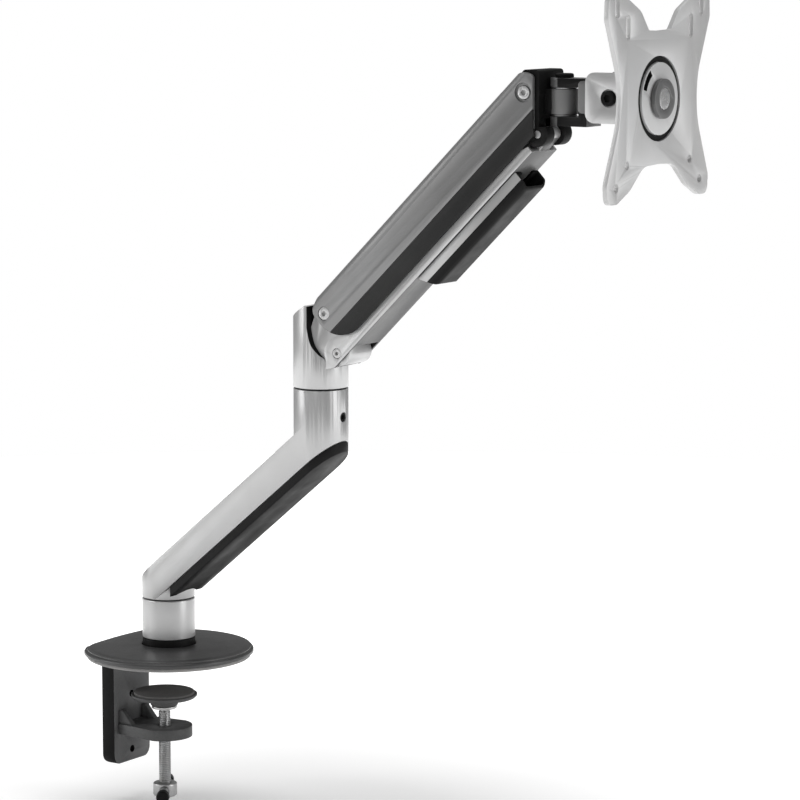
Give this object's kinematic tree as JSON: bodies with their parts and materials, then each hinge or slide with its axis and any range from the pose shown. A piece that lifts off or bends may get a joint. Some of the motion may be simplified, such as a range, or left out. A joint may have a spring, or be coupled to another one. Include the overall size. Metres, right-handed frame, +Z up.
{
  "type": "monitor arm",
  "caption": "Desk-clamped articulated arm: two swivel posts, a sprung parallelogram upper arm with a cable clip, and a tilting, turning monitor mounting plate.",
  "frame": {"origin": "base swivel axis at the desk top plane, the underside of the base pad", "axes": "+Z up, +X over the desk from the clamped edge towards the screen at rest, +Y completes the right-handed frame"},
  "size_m": [0.415, 0.1212, 0.5355],
  "materials": {
    "silver_metal": "satin",
    "link_metal": "satin",
    "grey_cover": "satin",
    "dark_grey_paint": "satin",
    "black_paint": "satin",
    "black_plastic": "matte",
    "pad_grey": "matte",
    "zinc": "satin",
    "rubber": "matte",
    "polished_steel": "polished",
    "spring_steel": "satin"
  },
  "bodies": {
    "base": {"desk_pad": "pad_grey", "base_plate": "black_paint", "base_cover": "dark_grey_paint", "post_foot_ring": "black_plastic", "base_post": "silver_metal", "base_shaft": "zinc", "clamp_bracket": "black_paint", "bracket_screw_left": "zinc", "bracket_screw_right": "zinc", "clamp_jaw": "black_paint", "jaw_screw_left": "zinc", "jaw_screw_right": "zinc"},
    "clamp_slider": {"press_plate": "black_paint", "press_pad": "rubber", "press_retainer": "zinc"},
    "clamp_handle": {"clamp_screw": "zinc", "handle_hub": "zinc", "handle_bar": "zinc", "bar_cap_near": "black_plastic", "bar_cap_far": "black_plastic"},
    "lower_arm_body": {"lower_arm": "silver_metal", "lower_cable_cover": "black_plastic", "base_bush": "black_plastic", "base_washer": "black_plastic", "elbow_shaft": "zinc", "elbow_set_screw": "black_paint"},
    "elbow": {"elbow_head": "silver_metal", "elbow_bush": "black_plastic", "elbow_washer": "black_plastic", "elbow_pin_upper": "silver_metal", "elbow_pin_lower": "silver_metal"},
    "upper_arm": {"upper_housing": "grey_cover", "skirt_near": "black_plastic", "skirt_far": "black_plastic", "spring_anchor": "black_paint", "spring_rod": "zinc", "spring_seat": "black_paint", "lift_spring": "spring_steel"},
    "parallel_link": {"lower_link": "link_metal", "cable_clip": "black_plastic", "clip_screw": "zinc"},
    "head": {"head_joint": "black_plastic", "swivel_sleeve": "dark_grey_paint", "head_pin_upper": "silver_metal", "head_pin_lower": "link_metal", "swivel_pin": "black_paint", "swivel_nut": "zinc", "swivel_washer_low": "zinc", "swivel_washer_high": "zinc"},
    "swivel": {"swivel_bracket": "dark_grey_paint"},
    "tilt": {"tilt_bracket": "silver_metal", "tilt_bolt": "black_paint", "tilt_nut": "zinc", "tilt_washer_near": "zinc", "tilt_washer_far": "zinc", "hub_disc": "silver_metal", "hub_collar": "dark_grey_paint", "hub_rivet": "polished_steel"},
    "plate": {"vesa_plate": "silver_metal", "friction_ring": "rubber"}
  },
  "joints": [
    {"name": "clamp_travel", "type": "slide", "parent": "base", "child": "clamp_slider", "axis": [0, 0, 1], "range_m": [-0.0095, 0.0215]},
    {"name": "clamp_turn", "type": "hinge", "parent": "clamp_slider", "child": "clamp_handle", "pos_m": [-0.0044, 0, -0.0915], "axis": [0, 0, 1], "range_deg": [-2740, 6200]},
    {"name": "base_swivel", "type": "hinge", "parent": "base", "child": "lower_arm_body", "pos_m": [0, 0, 0.04], "axis": [0, 0, 1], "range_deg": [-180, 180]},
    {"name": "elbow_swivel", "type": "hinge", "parent": "lower_arm_body", "child": "elbow", "pos_m": [0.124, 0, 0.189], "axis": [0, 0, 1], "range_deg": [-180, 180]},
    {"name": "arm_lift", "type": "hinge", "parent": "elbow", "child": "upper_arm", "pos_m": [0.1385, 0, 0.2386], "axis": [0, 1, 0], "range_deg": [-8, 75]},
    {"name": "link_lift", "type": "hinge", "parent": "elbow", "child": "parallel_link", "pos_m": [0.1465, 0, 0.2136], "axis": [0, 1, 0], "range_deg": [-8.5, 75.5]},
    {"name": "head_level", "type": "hinge", "parent": "upper_arm", "child": "head", "pos_m": [0.28453, 0, 0.38061], "axis": [0, 1, 0], "range_deg": [-75.5, 8.5]},
    {"name": "head_swivel", "type": "hinge", "parent": "head", "child": "swivel", "pos_m": [0.303, 0, 0.375], "axis": [0, 0, 1], "range_deg": [-75, 75]},
    {"name": "head_tilt", "type": "hinge", "parent": "swivel", "child": "tilt", "pos_m": [0.342, 0, 0.3785], "axis": [0, 1, 0], "range_deg": [-45, 30]},
    {"name": "plate_turn", "type": "hinge", "parent": "tilt", "child": "plate", "pos_m": [0.368, 0, 0.3785], "axis": [1, 0, 0], "range_deg": [-90, 90]}
  ],
  "couplings": [
    {"joint": "clamp_turn", "follows": "clamp_travel", "rad_per_m": 5026.5},
    {"joint": "link_lift", "follows": "arm_lift", "ratio": 1},
    {"joint": "head_level", "follows": "arm_lift", "ratio": -1}
  ]
}
